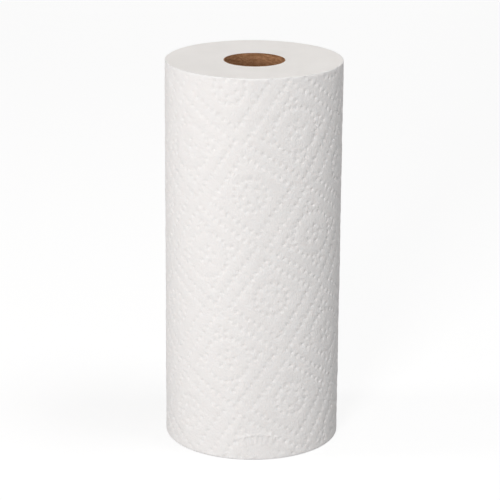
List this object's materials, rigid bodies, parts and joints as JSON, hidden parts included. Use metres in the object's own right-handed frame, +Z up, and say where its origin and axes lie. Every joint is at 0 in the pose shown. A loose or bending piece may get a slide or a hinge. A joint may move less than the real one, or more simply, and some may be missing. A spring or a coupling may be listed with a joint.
{
  "type": "paper towel roll",
  "caption": "Full roll of perforated, embossed white kitchen paper wound on a brown cardboard tube, standing on its end.",
  "frame": {"origin": "centre of the core at the base that the roll stands on", "axes": "+Z up the core; -Y is the front that the picture shows"},
  "size_m": [0.1263, 0.1261, 0.2794],
  "materials": {
    "towel_paper": "matte",
    "core_board": "matte"
  },
  "bodies": {
    "root": {"towel_roll": "towel_paper", "core_tube": "core_board"}
  },
  "joints": []
}
